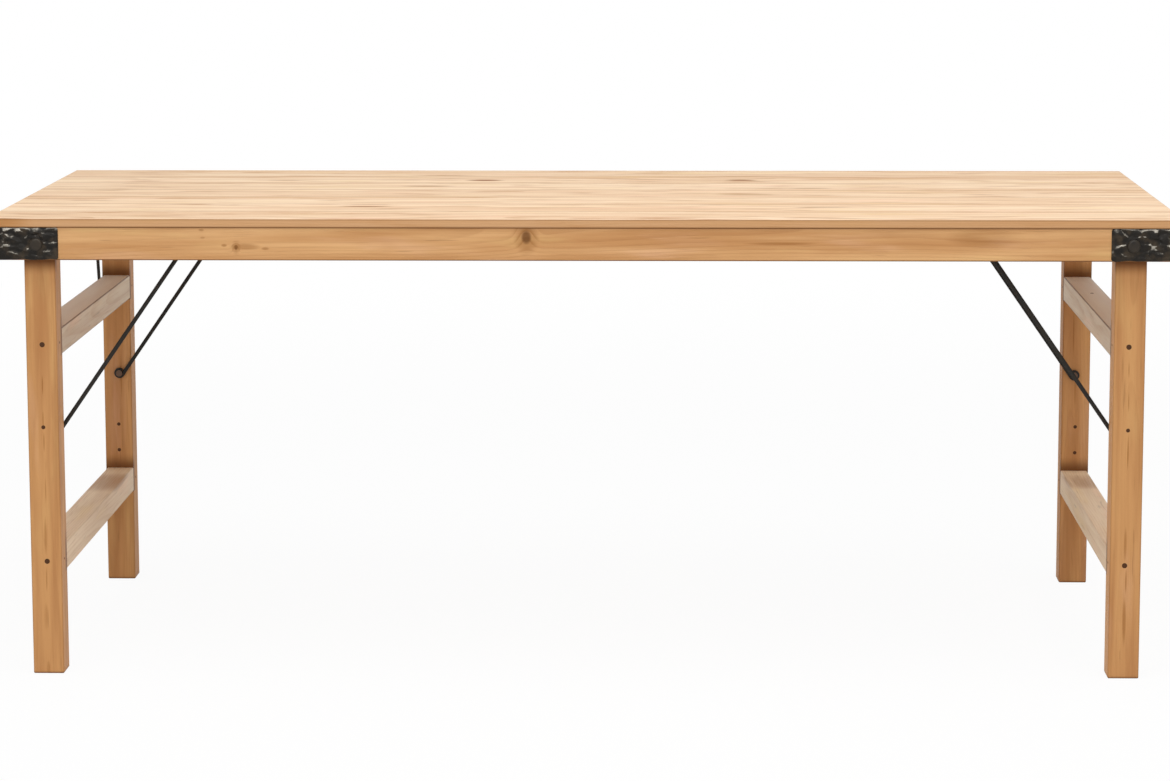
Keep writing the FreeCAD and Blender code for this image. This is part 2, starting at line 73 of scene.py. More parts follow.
# Shares for each kind of board: the depth of its patches of hue, its gloss, and how far it darkens in late
# wood, in blotches, along its arrises with edge dirt and painted shade, on its side faces, in a painted
# shadow at the joint above it, in a painted shadow under a corner iron, in painted shade over the rails, and
# at the foot.
HUE_SHARES = {"top": 0.33, "frame": 0.30, "leg": 0.18, "rail": 0.30, "low_rail": 0.35}
GLOSS_SHARES = {"top": 0.12, "frame": 0.25, "leg": 0.25, "rail": 0.50, "low_rail": 0.40}
RING_SHARES = {"top": 0.34, "frame": 0.34, "leg": 0.34, "rail": 0.16, "low_rail": 0.18}
BLOTCH_SHARES = {"top": 0.85, "frame": 0.25, "leg": 0.30, "rail": 0.15, "low_rail": 0.20}
ARRIS_DIRT_AND_SHADE_SHARES = {"top": 0.40, "frame": 0.90, "leg": 0.22, "rail": 0.80, "low_rail": 0.12}
SIDE_SHARES = {"top": 0.80}
JOINT_SHADOW_SHARES = {"frame": 0.45}
IRON_SHADOW_SHARES = {"leg": 0.98}
RAIL_SHADE_AND_FOOT_SHARES = {"leg": 0.88}

# How far a board pales on top, dusty and with a painted sheen, and how far one board leans to its deep
# colour, or to its pale one if the share is less than nought.
DUST_AND_SHEEN_SHARES = {"rail": 0.60}
TONE_SHARES = {"leg_back_left": -0.05, "leg_back_right": 0.05}

# Noises in the wood: waves a metre along, across and through a board, and the detail.
WOOD_NOISES = {
    "broad": ((0.9, 13, 13), 3.0),
    "band": ((2.8, 52, 52), 5.0),
    "fibre": ((9, 420, 420), 3.0),
    "pore": ((45, 1500, 1500), 2.0),
    "fleck": ((10, 170, 170), 2.0),
    "blotch": ((7, 42, 42), 4.0),
    "hue": ((4, 24, 24), 3.0),
    "wander": ((1.3, 6, 6), 2.0),
}

# Where a smooth step starts and ends: in a noise, in a ring's phase, or in squared distances from a knot or a
# streak.
WOOD_STEPS = {
    "fleck": (0.64, 0.78),
    "rosy": (0.55, 0.75),
    "golden": (0.45, 0.25),
    "late_start": (0.40, 0.88),
    "late_end": (1.0, 0.93),
    "ring_patch": (0.25, 0.65),
    "blotch": (0.52, 0.80),
    "fibre": (0.52, 0.80),
    "pore": (0.60, 0.80),
    "knot_core": (1.5, 0.25),
    "knot_shade": (9.0, 0.8),
    "streak": (1.0, 0.0),
    "streak_band": (0.20, 0.55),
}
MIDDLE_SHARE = 0.5
BROAD_SHARE = 1.7
BAND_SHARE = 1.9
TINT_SHARE = 0.12
FIBRE_SHARE = 0.34
PORE_SHARE = 0.10
FLECK_SHARE = 0.28
END_SHARE = 0.38

# Shares of a varying part and of a constant one, in a knot's shade and in its core.
KNOT_SHADE_SHARES = (0.20, 0.38)
KNOT_CORE_SHARES = (0.3, 0.65)
GRAIN_SHARES = {"fibre": 0.45, "pore": 0.2, "late": 0.25, "fleck": 0.2}
ROUGHNESS_SHARES = {"fibre": 0.16, "late": 0.06, "middle": 0.1}

# How far a board's figure is shifted at random, how far rings, knots and streaks wander, and a ring's slope.
FIGURE_REACH = 20
RING_WANDER = 0.034
KNOT_WANDER = 0.004
STREAK_WANDER = 0.01
RING_TAPER = 0.012

# A knot's height to its width, the swelling of rings round it in ring spacings, and how fast that falls off.
KNOT_STRETCH = 1.4
KNOT_SWELLING = 1.8
KNOT_FALL = 0.22

# The pith's place beside a board: a share of its half width, and half thicknesses through it.
PITH_SHARE = 0.8
PITH_DEPTHS = (1.6, 3.2)

# Distances in from a board's faces where the colour of an end, an arris or a joint starts and is full, and
# how far the darkening rises at a leg's foot.
END_EASE = (0.0012, 0.0004)
ARRIS_FULL = 0.0008
JOINT_EASE = (0.0016, 0.0004)
FOOT_RISE = 0.0052

# Paints by material: colour, colour of the bloom, share of bloom and share of polish.
PAINTS = {
    "black_rod": ("rod", "rust", 0.3, 0.0),
    "black_screw": ("paint", "rust", 0.4, 0.16),
    "black_bolt": ("paint", "rust", 0.5, 0.42),
    "brown_screw": ("paint", "brown", 1.0, 0.10),
    "worn_screw": ("brown", "steel", 1.0, 0.20),
    "brown_nail": ("paint", "brown", 1.0, 0.12),
}

# Noises in the iron: waves a metre each way, and the detail.
PAINT_NOISES = {"bloom": ((60, 60, 60), 4.0), "peel": ((220, 220, 220), 2.0), "rub": ((90, 90, 90), 3.0)}
BEATEN_NOISES = {"crinkle": ((240, 240, 240), 3.0), "bloom": ((55, 55, 55), 4.0)}
PAINT_STEPS = {"rub": (0.62, 0.80), "bloom": (0.65, 0.75)}
BEATEN_STEPS = {"rub": (0.32, 1.10), "bare": (0.40, 0.55), "bloom": (0.42, 0.68)}
PAINT_RUB_SHARES = {"colour": 0.06, "metal": 0.3}
PAINT_ROUGH_SHARES = {"bloom": 0.20, "peel": 0.1, "middle": 0.65}
PAINT_BUMP_SHARES = {"peel": 0.6, "bloom": 0.4}
PAINT_GLOSS_SHARE = 0.3
PAINT_BUMP = 0.00012
BEATEN_CRINKLE_SHARE = 1.3
BEATEN_RUST_SHARE = 0.8
BEATEN_ROUGH_SHARES = {"bloom": 0.20, "crinkle": 0.10, "middle": 0.22}
BEATEN_GLOSS_SHARE = 0.22
BEATEN_BUMP = 0.0012

# A corner iron's plate: radius of its corners, seats of its bolt and screws, points along it and up it, and
# the places of points in its rim.
PLATE_RADIUS = 0.004
BOLT_SEAT = 0.0115
SCREW_INSET = 0.018
SCREW_SEAT = 0.0055
SEAT_EASE = 0.006
RUN_POINTS = 150
LEVEL_POINTS = 40
RIM_SHARES = (0.0, 0.03, 0.10, 0.22, 0.38, 0.60, 0.80)

# Lengths of the waves in its two long edges, and how many are added.
RIM_WAVES = (0.02, 0.06)
WAVE_COUNT = 4

# Facets: length to height, width of the bell curve in spacings, least weight and greatest rise in reliefs.
FACET_STRETCH = 1.5
FACET_BELL = 0.38
LEAST_WEIGHT = 1e-9
RELIEF_LIMIT = 2

# Patches of creases: turns a metre along and up the plate, greatest phase, and the share that is kept.
CREASE_TURNS = (90, 110)
CREASE_PHASE = 6
CREASE_SHARE = 0.45

# Share of rubbed creases, share of the rubbing and painted glints at the plate's foot, growing towards its
# top, and the slope at which a facet facing up starts to show bare iron as a painted glint.
CREASE_WEAR_SHARE = 0.5
FOOT_WEAR_AND_GLINT_SHARE = 0.5
GLINT_SLOPE = 0.20

SHARP_ANGLE = math.radians(50)
HEAD_SIDES = 20
DOME_RINGS = 6

# First seeds of the random draws, and the step from end to end.
SEEDS = {"top": 40, "frame": 60, "leg": 80, "rail": 90, "iron": 7}
END_STEP = 2

WHITE = (1, 1, 1, 1)
FULL = 1.0

# Shares of the floor's reach between which it turns wholly white, and how far the camera sees.
FLOOR_FADE_SHARES = (0.2, 0.6)
VIEW_REACH = 100.0

# Lamps: width and height, place and target.
KEY_LAMP = ((4.5, 2.8), (0.3, -1.2, 3.6), (0, 0, 0.6))
FILL_LAMP = ((5.0, 2.0), (-0.6, -5.0, 2.5), (0, 0, 0.5))

# Knots as (along, across, radius) and streaks as (along, across, half length, half width, depth share), all
# from the middle of the board's face.
KNOTS = {
    "front_apron": [(-0.094, 0.0115, 0.0080), (-0.580, -0.0065, 0.0030)],
    "back_apron": [(0.310, -0.006, 0.0075), (-0.640, 0.008, 0.0040)],
}
STREAKS = {
    "top_plank_1": [(-0.985, -0.0640, 0.070, 0.0140, 1.00)],
    "top_plank_2": [(-0.382, 0.019, 0.055, 0.0130, 0.80), (0.411, 0.021, 0.060, 0.0090, 0.80)],
    "top_plank_4": [(0.279, -0.024, 0.070, 0.0120, 0.80)],
    "top_plank_5": [(0.398, -0.029, 0.050, 0.0110, 0.80), (-0.300, 0.004, 0.060, 0.0110, 0.80)],
    "top_plank_6": [(-0.202, -0.008, 0.042, 0.0190, 1.00), (0.275, -0.002, 0.036, 0.0180, 1.00)],
    "front_apron": [(0.670, 0.010, 0.075, 0.0180, 0.45), (0.330, 0.002, 0.070, 0.0030, 0.60),
                    (-0.600, -0.004, 0.006, 0.0032, 0.60), (-0.531, -0.009, 0.008, 0.0032, 0.55),
                    (-0.565, -0.006, 0.030, 0.0070, 0.50), (-0.638, 0.022, 0.006, 0.0028, 0.60),
                    (-0.636, 0.009, 0.005, 0.0024, 0.50)],
    "leg_front_left": [(0.115, 0.000, 0.020, 0.0014, 0.70), (0.055, 0.000, 0.020, 0.0014, 0.60),
                       (0.017, 0.001, 0.020, 0.0014, 0.70), (-0.066, 0.002, 0.025, 0.0014, 0.60),
                       (-0.145, 0.000, 0.040, 0.0030, 0.55), (-0.220, 0.000, 0.026, 0.0014, 0.70),
                       (-0.285, -0.002, 0.028, 0.0050, 0.55), (-0.375, 0.000, 0.016, 0.0040, 0.60)],
    "leg_front_right": [(0.146, 0.000, 0.016, 0.0014, 0.70), (0.092, 0.000, 0.020, 0.0014, 0.70),
                        (0.006, 0.000, 0.036, 0.0014, 0.80), (-0.153, -0.001, 0.036, 0.0030, 0.60),
                        (-0.216, 0.001, 0.025, 0.0014, 0.70), (-0.285, -0.001, 0.048, 0.0040, 0.60)],
    "leg_back_left": [(0.010, 0.006, 0.050, 0.0016, 0.60)],
    "leg_back_right": [(0.100, -0.004, 0.050, 0.0016, 0.60), (-0.010, 0.000, 0.040, 0.0014, 0.60)],
    "upper_rail_right": [(0.042, -0.002, 0.0030, 0.0080, 0.80)],
    "lower_rail_left": [(0.210, 0.024, 0.110, 0.0120, 0.60)],
    "lower_rail_right": [(0.250, 0.024, 0.090, 0.0120, 0.60)],
}


class PineProperties(bpy.types.PropertyGroup):
    """Colours and figure of the pine."""

    top_pale: bpy.props.FloatVectorProperty(
        name="Top pale", description="Pale wood of the planks", subtype="COLOR",
        default=(0.95, 0.735, 0.51))
    top_deep: bpy.props.FloatVectorProperty(
        name="Top deep", description="Deep wood of the planks", subtype="COLOR",
        default=(0.805, 0.545, 0.335))
    frame_pale: bpy.props.FloatVectorProperty(
        name="Frame pale", description="Pale wood of the aprons", subtype="COLOR",
        default=(0.79, 0.46, 0.207))
    frame_deep: bpy.props.FloatVectorProperty(
        name="Frame deep", description="Deep wood of the aprons", subtype="COLOR",
        default=(0.58, 0.287, 0.108))
    leg_pale: bpy.props.FloatVectorProperty(
        name="Leg pale", description="Pale wood of the legs", subtype="COLOR", default=(0.64, 0.326, 0.123))
    leg_deep: bpy.props.FloatVectorProperty(
        name="Leg deep", description="Deep wood of the legs", subtype="COLOR",
        default=(0.465, 0.204, 0.070))
    rail_pale: bpy.props.FloatVectorProperty(
        name="Rail pale", description="Pale wood of the rails", subtype="COLOR",
        default=(0.775, 0.65, 0.475))
    rail_deep: bpy.props.FloatVectorProperty(
        name="Rail deep", description="Deep wood of the rails", subtype="COLOR", default=(0.66, 0.51, 0.36))
    low_rail_pale: bpy.props.FloatVectorProperty(
        name="Low rail pale", description="Pale wood of the lower rails", subtype="COLOR",
        default=(0.89, 0.70, 0.49))
    low_rail_deep: bpy.props.FloatVectorProperty(
        name="Low rail deep", description="Deep wood of the lower rails", subtype="COLOR",
        default=(0.77, 0.56, 0.37))
    rosy: bpy.props.FloatVectorProperty(
        name="Rosy", description="Rosy patches in the wood", subtype="COLOR", default=(0.93, 0.565, 0.375))
    golden: bpy.props.FloatVectorProperty(
        name="Golden", description="Golden patches in the wood", subtype="COLOR",
        default=(0.84, 0.60, 0.24))
    late_wood: bpy.props.FloatVectorProperty(
        name="Late wood", description="Dark part of a year ring", subtype="COLOR",
        default=(0.44, 0.195, 0.067))
    # This dark colour is also used for the painted shade under the corner irons, over the rails, at joints
    # and along arrises.
    resin: bpy.props.FloatVectorProperty(
        name="Resin", description="Flecks, knots and dirt", subtype="COLOR", default=(0.134, 0.043, 0.005))
    stain: bpy.props.FloatVectorProperty(
        name="Stain", description="Brown streaks in the wood", subtype="COLOR",
        default=(0.300, 0.110, 0.016))
    # Pale grey for the rails' dusty tops, which also carries a painted sheen.
    dust_and_sheen: bpy.props.FloatVectorProperty(
        name="Dust", description="Grey dust on the rails", subtype="COLOR", default=(0.87, 0.81, 0.76))
    ring_spacing: bpy.props.FloatProperty(
        name="Ring spacing", description="Mean width of a year ring", unit="LENGTH", default=0.0042)
    # Reach of the painted shadow under a corner iron, and of the painted shade above each rail.
    painted_shade_height: bpy.props.FloatProperty(
        name="Grime height", description="How far the dirt under a corner iron goes down", unit="LENGTH",
        default=0.030)
    # Width of the darkened strip along each arris: edge dirt, with painted shade on the aprons and upper
    # rails.
    arris: bpy.props.FloatProperty(
        name="Arris", description="Width of a worn edge", unit="LENGTH", default=0.0026)
    grain_depth: bpy.props.FloatProperty(
        name="Grain depth", description="Height of the raised grain", unit="LENGTH", default=0.0005)
    roughness: bpy.props.FloatProperty(
        name="Roughness", description="Mean roughness of the oiled wood", subtype="FACTOR", default=0.56)


class IronProperties(bpy.types.PropertyGroup):
    """Colours and relief of the black iron."""

    paint: bpy.props.FloatVectorProperty(
        name="Paint", description="Black paint in the hollows", subtype="COLOR",
        default=(0.0085, 0.0062, 0.0036))
    rod: bpy.props.FloatVectorProperty(
        name="Rod paint", description="Greyer paint on the rods", subtype="COLOR",
        default=(0.021, 0.020, 0.018))
    brown: bpy.props.FloatVectorProperty(
        name="Brown", description="Rusted nails and screws", subtype="COLOR", default=(0.085, 0.030, 0.007))
    steel: bpy.props.FloatVectorProperty(
        name="Steel", description="Worn heads of the ring screws", subtype="COLOR",
        default=(0.135, 0.078, 0.050))
    # Bare iron: rubbed on ridges, and on the hammered plates also painted as glints on facets facing up.
    bare: bpy.props.FloatVectorProperty(
        name="Bare iron", description="Iron rubbed bare on the ridges", subtype="COLOR",
        default=(0.33, 0.305, 0.26))
    rust: bpy.props.FloatVectorProperty(
        name="Rust", description="Brown bloom on the paint", subtype="COLOR", default=(0.052, 0.035, 0.019))
    relief: bpy.props.FloatProperty(
        name="Relief", description="Height of a facet above or below the plate", unit="LENGTH",
        default=0.0008)
    facet_spacing: bpy.props.FloatProperty(
        name="Facet spacing", description="Distance between facets", unit="LENGTH", default=0.0105)
    facet_slope: bpy.props.FloatProperty(
        name="Facet slope", description="Steepest slope of a facet", default=0.50)
    crease_height: bpy.props.FloatProperty(
        name="Crease height", description="Height of the creases between facets", unit="LENGTH",
        default=0.0007)
    crease_width: bpy.props.FloatProperty(
        name="Crease width", description="Width of a crease", unit="LENGTH", default=0.0016)
    rim_width: bpy.props.FloatProperty(
        name="Rim width", description="Width of the plate's rounded rim", unit="LENGTH", default=0.0075)
    rim_drop: bpy.props.FloatProperty(
        name="Rim drop", description="How far the rim falls back", unit="LENGTH", default=0.0022)
    rim_wear: bpy.props.FloatProperty(
        name="Rim unevenness", description="How far the rim wanders inwards", unit="LENGTH", default=0.0020)
    thickness: bpy.props.FloatProperty(
        name="Thickness", description="Thickness of the plate", unit="LENGTH", default=0.003)
    corner_radius: bpy.props.FloatProperty(
        name="Bend radius", description="Outer radius of the bend", unit="LENGTH", default=0.005)


class NailProperties(bpy.types.PropertyGroup):
    """Sizes and heights of the nails and pins."""

    nail_diameter: bpy.props.FloatProperty(
        name="Nail head", description="Diameter of a nail head", unit="LENGTH", default=0.0068)
    pin_diameter: bpy.props.FloatProperty(
        name="Pin head", description="Diameter of a pin head", unit="LENGTH", default=0.0042)
    dome_height: bpy.props.FloatProperty(
        name="Dome height", description="How far a head stands proud", unit="LENGTH", default=0.0005)
    shank_depth: bpy.props.FloatProperty(
        name="Depth", description="How far a head goes into the wood", unit="LENGTH", default=0.0015)
    face_height: bpy.props.FloatProperty(
        name="Face nail height", description="Height of the nail in a leg's outer face", unit="LENGTH",
        default=0.427)
    inner_heights: bpy.props.FloatVectorProperty(
        name="Inner nail heights", description="Heights of two nails in a leg's inner face", unit="LENGTH",
        size=2, default=(0.303, 0.253))
    rail_nail: bpy.props.FloatProperty(
        name="Rail nail", description="Place of the nail along the right upper rail", unit="LENGTH",
        default=0.122)


class StageProperties(bpy.types.PropertyGroup):
    """Floor, light and camera."""

    floor_reach: bpy.props.FloatProperty(
        name="Floor reach", description="Half the floor's side", unit="LENGTH", default=9.0)
    floor_colour: bpy.props.FloatVectorProperty(
        name="Floor colour", description="Pale floor", subtype="COLOR", default=(0.93, 0.93, 0.93))
    floor_white_share: bpy.props.FloatProperty(
        name="Floor white", description="How much of the floor is plain white", subtype="FACTOR",
        default=0.94)
    sky_strength: bpy.props.FloatProperty(
        name="Sky strength", description="Soft light from all round", default=0.49)
    key_power: bpy.props.FloatProperty(
        name="Key power", description="Power of the lamp overhead", unit="POWER", default=80.0)
    fill_power: bpy.props.FloatProperty(
        name="Fill power", description="Power of the lamp in front", unit="POWER", default=43.0)
    camera_place: bpy.props.FloatVectorProperty(
        name="Camera place", description="Where the camera stands", subtype="XYZ", unit="LENGTH",
        default=(0.1682, -6.2704, 1.3989))
    camera_pitch: bpy.props.FloatProperty(
        name="Camera pitch", description="How far it looks down", unit="ROTATION", default=0.1403)
    camera_roll: bpy.props.FloatProperty(
        name="Camera roll", description="How far it leans to the right", unit="ROTATION", default=0.0016)
    camera_turn: bpy.props.FloatProperty(
        name="Camera turn", description="How far it turns to the left", unit="ROTATION", default=0.0280)
    lens: bpy.props.FloatProperty(
        name="Lens", description="Focal length in millimetres", default=108.1)
    shift: bpy.props.FloatProperty(
        name="Shift", description="Shift of the lens upwards in shares of the width", default=-0.04)


class Value:
    """A socket of a finish. Arithmetic on numbers adds Math nodes."""

    def __init__(self, finish, socket):
        self.finish = finish
        self.socket = socket

    def math(self, operation, *others):
        return self.finish.math(operation, self, *others)

    def __add__(self, other):
        return self.math("ADD", other)

    def __sub__(self, other):
        return self.math("SUBTRACT", other)

    def __rsub__(self, other):
        return self.finish.math("SUBTRACT", other, self)

    def __mul__(self, other):
        return self.math("MULTIPLY", other)

    def __truediv__(self, other):
        return self.math("DIVIDE", other)

    def __pow__(self, other):
        return self.math("POWER", other)

    def __abs__(self):
        return self.math("ABSOLUTE")

    __radd__ = __add__
    __rmul__ = __mul__


class Finish:
    """One procedural material, or the world, while its nodes are put together."""

    def __init__(self, owner):
        owner.use_nodes = True
        self.owner = owner
        self.tree = owner.node_tree
        self.tree.nodes.clear()

    def node(self, kind, settings=None, inputs=None, outputs=(0,)):
        """A node of a kind: its settings first, then values or links for its sockets."""
        made = self.tree.nodes.new(kind)
        for name, value in (settings or {}).items():
            setattr(made, name, value)
        for name, value in (inputs or {}).items():
            if isinstance(value, Value):
                self.tree.links.new(value.socket, made.inputs[name])
            else:
                made.inputs[name].default_value = value
        found = [Value(self, made.outputs[name]) for name in outputs]
        return found[0] if len(found) == 1 else found

    def math(self, operation, *values):
        return self.node("ShaderNodeMath", {"operation": operation}, dict(enumerate(values)))

    def mix(self, share, first, second):
        """Two colours mixed by a share of the second."""
        return self.node("ShaderNodeMix", {"data_type": "RGBA"}, {0: share, 6: first, 7: second}, (2,))

    def step(self, value, low, high):
        """A smooth step from nought at low to one at high."""
        return self.node("ShaderNodeMapRange", {"interpolation_type": "SMOOTHSTEP"},
                         {"Value": value, "From Min": low, "From Max": high})

    def noise(self, spot, per_metre, detail):
        """Noise from nought to one with so many waves a metre along each axis."""
        stretched = self.node("ShaderNodeMapping", {"vector_type": "POINT"},
                              {"Vector": spot, "Scale": per_metre})
        return self.node("ShaderNodeTexNoise", {"noise_dimensions": "3D"},
                         {"Vector": stretched, "Scale": FULL, "Detail": detail})

    def object_place(self):
        return self.node("ShaderNodeTexCoord", outputs=("Object",))

    def shows_background(self):
        """One for rays that show the background: from the camera, off gloss or through glass. Else nought."""
        camera, glossy, through = self.node(
            "ShaderNodeLightPath", outputs=("Is Camera Ray", "Is Glossy Ray", "Is Transmission Ray"))
        return camera.math("MAXIMUM", glossy).math("MAXIMUM", through)

    def bump(self, height, depth):
        return self.node("ShaderNodeBump", inputs={"Height": height, "Distance": depth})

    def surface(self, **sockets):
        """The finished shader: a Principled surface with these sockets."""
        inputs = {name.replace("_", " "): value for name, value in sockets.items()}
        shader = self.node("ShaderNodeBsdfPrincipled", inputs=inputs)
        self.node("ShaderNodeOutputMaterial", inputs={"Surface": shader}, outputs=())
        return self.owner


def opaque(colour):
    """A colour with its alpha."""
    return (*colour, FULL)


def dress(node, material):
    """Give a CAD node one material in all its slots."""
    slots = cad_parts[node].material_slots
    for held in slots:
        held.material = material


class Board:
    """A board in its finish: places along, across and through it from its middle, and half its sizes."""

    def __init__(self, finish, node, kind, axes, width):
        low, high = (np.array(corner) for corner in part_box(node))
        if width:
            high[axes[1]] = low[axes[1]] + width
        middle = [float(value) for value in (low + high) / 2]
        half = [float(value) for value in (high - low) / 2]
        self.node = node
        self.kind = kind
        self.axes = axes
        self.middle = middle
        self.place = finish.node("ShaderNodeSeparateXYZ", inputs={0: finish.object_place()},
                                 outputs=(0, 1, 2))
        self.along, self.across, self.through = (self.place[axis] - middle[axis] for axis in axes)
        self.half_long, self.half_wide, self.half_thick = (half[axis] for axis in axes)


def knots_and_streaks(finish, board, band, wander):
    """How far the rings swell, and how far each place is in a knot's core, in its shade and in a streak.

    Knots and streaks are ellipses on the board's face, moved aside by a wander from noise. Rings swell by
    that wander too, and round each knot by a bell curve.
    """
    ring_spacing = bpy.context.scene.table_pine.ring_spacing
    swelling = wander * RING_WANDER
    knot_core = 0.0
    knot_shade = 0.0
    for knot_along, knot_across, radius in KNOTS.get(board.node, []):
        reach = (((board.along - knot_along) / radius) ** 2
                 + ((board.across - knot_across + wander * KNOT_WANDER) / (KNOT_STRETCH * radius)) ** 2)
        swelling = swelling + (reach * -KNOT_FALL).math("EXPONENT") * (KNOT_SWELLING * ring_spacing)
        knot_core = knot_core + finish.step(reach, *WOOD_STEPS["knot_core"])
        knot_shade = knot_shade + finish.step(reach, *WOOD_STEPS["knot_shade"])
    streak = 0.0
    for streak_along, streak_across, long, wide, depth_share in STREAKS.get(board.node, []):
        aside = board.across - streak_across + wander * STREAK_WANDER
        reach = ((board.along - streak_along) / long) ** 2 + (aside / wide) ** 2
        patchy = finish.step(reach, *WOOD_STEPS["streak"]) * finish.step(band, *WOOD_STEPS["streak_band"])
        streak = streak + patchy * depth_share
    return swelling, knot_core, knot_shade, streak


def late_part(finish, board, swelling, chance):
    """How far each place is in late wood, which is the last part of each ring.

    A ring's phase is the distance from a pith beside the board, with the swelling and a taper along the board
    added, over the ring spacing.
    """
    pith_across = float(chance.uniform(-PITH_SHARE, PITH_SHARE)) * board.half_wide
    pith_through = float(chance.choice((-1, 1)) * chance.uniform(*PITH_DEPTHS))
    pith_through = pith_through * max(board.half_thick, board.half_wide / 2)
    taper = float(chance.uniform(-RING_TAPER, RING_TAPER))
    radius = ((board.across - pith_across) ** 2 + (board.through - pith_through) ** 2) ** 0.5
    ring_spacing = bpy.context.scene.table_pine.ring_spacing
    ring = ((radius + swelling + board.along * taper) / ring_spacing).math("FRACT")
    return finish.step(ring, *WOOD_STEPS["late_start"]) * finish.step(ring, *WOOD_STEPS["late_end"])


def clean_wood(finish, board, noises, late, tint):
    """Pale and deep wood mixed by two noises, with patches of hue, late wood, blotches, fibres and pores."""
    wood = bpy.context.scene.table_pine
    kind = board.kind
    broad, band = noises["broad"], noises["band"]
    lean = MIDDLE_SHARE + tint + TONE_SHARES.get(board.node, 0.0)
    tone = (broad - MIDDLE_SHARE) * BROAD_SHARE + (band - MIDDLE_SHARE) * BAND_SHARE + lean
    pale, deep = (opaque(getattr(wood, kind + ending)) for ending in ("_pale", "_deep"))
    late_wood, resin = opaque(wood.late_wood), opaque(wood.resin)
    shade = finish.mix(finish.step(tone, 0.0, FULL), pale, deep)
    for name, colour in (("rosy", wood.rosy), ("golden", wood.golden)):
        patches = finish.step(noises["hue"], *WOOD_STEPS[name])
        shade = finish.mix(patches * HUE_SHARES[kind], shade, opaque(colour))
    rings = late * finish.step(broad, *WOOD_STEPS["ring_patch"])
    shade = finish.mix(rings * RING_SHARES[kind], shade, late_wood)
    for name, share, colour in (("blotch", BLOTCH_SHARES[kind], late_wood), ("fibre", FIBRE_SHARE, late_wood),
                                ("pore", PORE_SHARE, resin)):
        shade = finish.mix(finish.step(noises[name], *WOOD_STEPS[name]) * share, shade, colour)
    return shade


def leg_shade_and_foot(finish, board, shade):
    """A leg's colour by height: painted shadow under its corner iron, painted shade over its rails, and
    darker at its foot.
    """
    wood = bpy.context.scene.table_pine
    node, kind = board.node, board.kind
    resin = opaque(wood.resin)
    height = board.place[board.axes[0]]
    outwards = board.through * math.copysign(1, board.middle[board.axes[2]])
    # Painted shadow under the corner iron on the leg's outer half, fading down from the iron's foot.
    iron_shadow = finish.step(height, IRON_FOOT - wood.painted_shade_height, IRON_FOOT)
    iron_shadow = iron_shadow * finish.step(outwards, 0, board.half_thick)
    shade = finish.mix(iron_shadow * IRON_SHADOW_SHARES[kind], shade, resin)
    # Painted shade on the leg's inner half where it meets each rail, from just under the rail to above it.
    for level in LEVELS:
        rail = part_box("%s_rail_%s" % (level, node.split("_")[-1]))
        foot, head = rail[0][2], rail[1][2]
        rail_shade = finish.step(height, head + wood.painted_shade_height, head)
        rail_shade = rail_shade * finish.step(outwards, 0, -board.half_thick)
        rail_shade = rail_shade * finish.step(height, foot - wood.arris, foot)
        shade = finish.mix(rail_shade * RAIL_SHADE_AND_FOOT_SHARES[kind], shade, resin)
    # Darker in the lowest few millimetres, at the foot.
    return finish.mix(finish.step(height, FOOT_RISE, 0) * RAIL_SHADE_AND_FOOT_SHARES[kind], shade, resin)


def worn_and_shaded_wood(finish, board, shade):
    """A board's colour with its ends, sides, joints and arrises picked out by distance from its middle;
    joints and arrises get painted shade.
    """
    wood = bpy.context.scene.table_pine
    kind = board.kind
    resin = opaque(wood.resin)
    half_long, half_wide, half_thick = board.half_long, board.half_wide, board.half_thick
    end = finish.step(abs(board.along), half_long - END_EASE[0], half_long - END_EASE[1])
    side = finish.step(abs(board.across), half_wide - wood.arris, half_wide - ARRIS_FULL)
    face = finish.step(abs(board.through), half_thick - wood.arris, half_thick - ARRIS_FULL)
    joint = finish.step(board.across, half_wide - JOINT_EASE[0], half_wide - JOINT_EASE[1])
    shade = finish.mix(end * END_SHARE, shade, opaque(wood.late_wood))
    if kind in SIDE_SHARES:
        shade = finish.mix(side * SIDE_SHARES[kind], shade, opaque(wood.frame_deep))
    # A painted shadow line along the frame's upper edge, under the top.
    if kind in JOINT_SHADOW_SHARES:
        shade = finish.mix(joint * JOINT_SHADOW_SHARES[kind], shade, resin)
    # The upper rails' tops paled, dusty and with a painted sheen.
    if kind in DUST_AND_SHEEN_SHARES:
        shade = finish.mix(joint * DUST_AND_SHEEN_SHARES[kind], shade, opaque(wood.dust_and_sheen))
    # Legs get a painted shadow under the iron and painted shade over the rails.
    if kind in IRON_SHADOW_SHARES:
        shade = leg_shade_and_foot(finish, board, shade)
    # Arrises darkened with edge dirt, and with painted shade along the aprons' and upper rails' edges.
    return finish.mix(side * face * ARRIS_DIRT_AND_SHADE_SHARES[kind], shade, resin)


